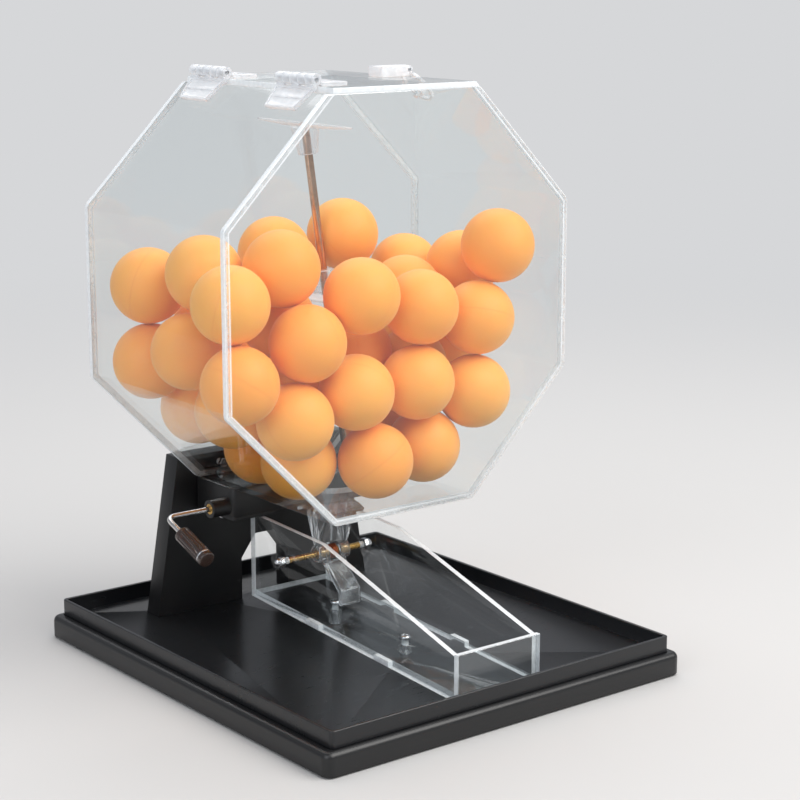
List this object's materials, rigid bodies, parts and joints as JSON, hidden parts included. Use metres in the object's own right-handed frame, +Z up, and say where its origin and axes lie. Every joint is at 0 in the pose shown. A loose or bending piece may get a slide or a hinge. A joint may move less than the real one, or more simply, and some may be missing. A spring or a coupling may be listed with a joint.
{
  "type": "raffle drum with crank",
  "caption": "Clear octagonal drum of balls on a black stand and tray, with a crank-driven agitator, hinged lid, tilting gate and ball chute.",
  "frame": {"origin": "bottom centre of the base, on the surface that it stands on", "axes": "+X to the right seen from the chute's open end, +Y to the back, where the stand is, +Z up"},
  "size_m": [0.232, 0.262, 0.3164],
  "materials": {
    "plinth": "black moulded plastic with a satin surface",
    "rubber_feet": "soft black rubber",
    "tray": "black moulded plastic with a fine grain",
    "stand": "black moulded plastic with a satin surface",
    "stand_screws": "zinc plated steel",
    "drum_wrap": "clear acrylic sheet, polished, bent along its corners",
    "drum_front_panel": "clear acrylic sheet with bright polished edges",
    "drum_back_panel": "clear acrylic sheet with bright polished edges",
    "drum_screws": "zinc plated steel",
    "drum_nuts": "zinc plated steel",
    "gear_housing": "black moulded plastic with a satin surface",
    "gear_cover": "black moulded plastic with a satin surface",
    "cover_screws": "zinc plated steel",
    "floor_screws": "zinc plated steel, countersunk flush",
    "axle_bushes": "turned brass",
    "shaft_bush": "black plastic",
    "crank_rod": "bright bent steel rod",
    "crank_grip": "dark translucent brown plastic sleeve",
    "crank_gear": "cut brass",
    "shaft_gear": "cut brass",
    "agitator_shaft": "polished steel rod",
    "upper_paddle": "clear moulded plastic",
    "lower_paddle": "clear moulded plastic",
    "balls": "matte orange thin-walled ball",
    "lid": "clear acrylic sheet with bright polished edges",
    "front_hinge_fixed_leaf": "clear moulded plastic",
    "rear_hinge_fixed_leaf": "clear moulded plastic",
    "front_hinge_lid_leaf": "clear moulded plastic",
    "rear_hinge_lid_leaf": "clear moulded plastic",
    "hinge_pins": "bright steel wire",
    "latch_block": "clear moulded plastic",
    "latch_pin": "bright steel wire",
    "latch_hasp": "clear moulded plastic",
    "latch_knob": "clear moulded plastic",
    "chute_left_wall": "clear acrylic sheet with bright polished edges",
    "chute_right_wall": "clear acrylic sheet with bright polished edges",
    "chute_floor": "clear acrylic sheet",
    "chute_stop": "clear acrylic sheet with bright polished edges",
    "chute_screws": "zinc plated steel",
    "chute_spacers": "clear plastic",
    "chute_nuts": "zinc plated steel",
    "gate_rod": "brass rod",
    "rod_cap_nuts": "plated cap nut",
    "gate_lever": "clear moulded plastic",
    "gate_sleeve": "brass tube",
    "gate_spring": "coppered spring wire"
  },
  "bodies": {
    "frame": {"plinth": "plinth", "rubber_feet": "rubber_feet", "tray": "tray", "stand": "stand", "stand_screws": "stand_screws", "drum_wrap": "drum_wrap", "drum_front_panel": "drum_front_panel", "drum_back_panel": "drum_back_panel", "drum_screws": "drum_screws", "drum_nuts": "drum_nuts", "gear_housing": "gear_housing", "gear_cover": "gear_cover", "cover_screws": "cover_screws", "floor_screws": "floor_screws", "axle_bushes": "axle_bushes", "shaft_bush": "shaft_bush", "front_hinge_fixed_leaf": "front_hinge_fixed_leaf", "rear_hinge_fixed_leaf": "rear_hinge_fixed_leaf", "hinge_pins": "hinge_pins", "latch_knob": "latch_knob", "chute_left_wall": "chute_left_wall", "chute_right_wall": "chute_right_wall", "chute_floor": "chute_floor", "chute_stop": "chute_stop", "chute_screws": "chute_screws", "chute_spacers": "chute_spacers", "chute_nuts": "chute_nuts", "gate_rod": "gate_rod", "rod_cap_nuts": "rod_cap_nuts", "balls": "balls"},
    "crank": {"crank_rod": "crank_rod", "crank_grip": "crank_grip", "crank_gear": "crank_gear"},
    "agitator": {"agitator_shaft": "agitator_shaft", "shaft_gear": "shaft_gear", "upper_paddle": "upper_paddle", "lower_paddle": "lower_paddle"},
    "lid": {"lid": "lid", "front_hinge_lid_leaf": "front_hinge_lid_leaf", "rear_hinge_lid_leaf": "rear_hinge_lid_leaf", "latch_block": "latch_block", "latch_pin": "latch_pin"},
    "hasp": {"latch_hasp": "latch_hasp"},
    "gate": {"gate_lever": "gate_lever", "gate_sleeve": "gate_sleeve", "gate_spring": "gate_spring"}
  },
  "joints": [
    {"name": "crank_turn", "type": "hinge", "parent": "frame", "child": "crank", "pos_m": [-0.0515, 0.057, 0.0795], "axis": [1, 0, 0], "continuous": true},
    {"name": "agitator_spin", "type": "hinge", "parent": "frame", "child": "agitator", "pos_m": [0.038, 0.057, 0.0795], "axis": [-0.1411, 0, 0.99], "continuous": true},
    {"name": "lid_hinge", "type": "hinge", "parent": "frame", "child": "lid", "pos_m": [-0.0466, 0.0225, 0.3134], "axis": [0, -1, 0], "range_deg": [0, 170]},
    {"name": "hasp_hinge", "type": "hinge", "parent": "lid", "child": "hasp", "pos_m": [0.044, 0.016, 0.3135], "axis": [0, -1, 0], "range_deg": [0, 100]},
    {"name": "gate_tilt", "type": "hinge", "parent": "frame", "child": "gate", "pos_m": [0.005, 0.0307, 0.0507], "axis": [-1, 0, 0], "range_deg": [0, 25], "stiffness_Nm_per_rad": 0.02, "springref_deg": -17.19}
  ],
  "couplings": [
    {"joint": "agitator_spin", "follows": "crank_turn", "ratio": 1}
  ]
}
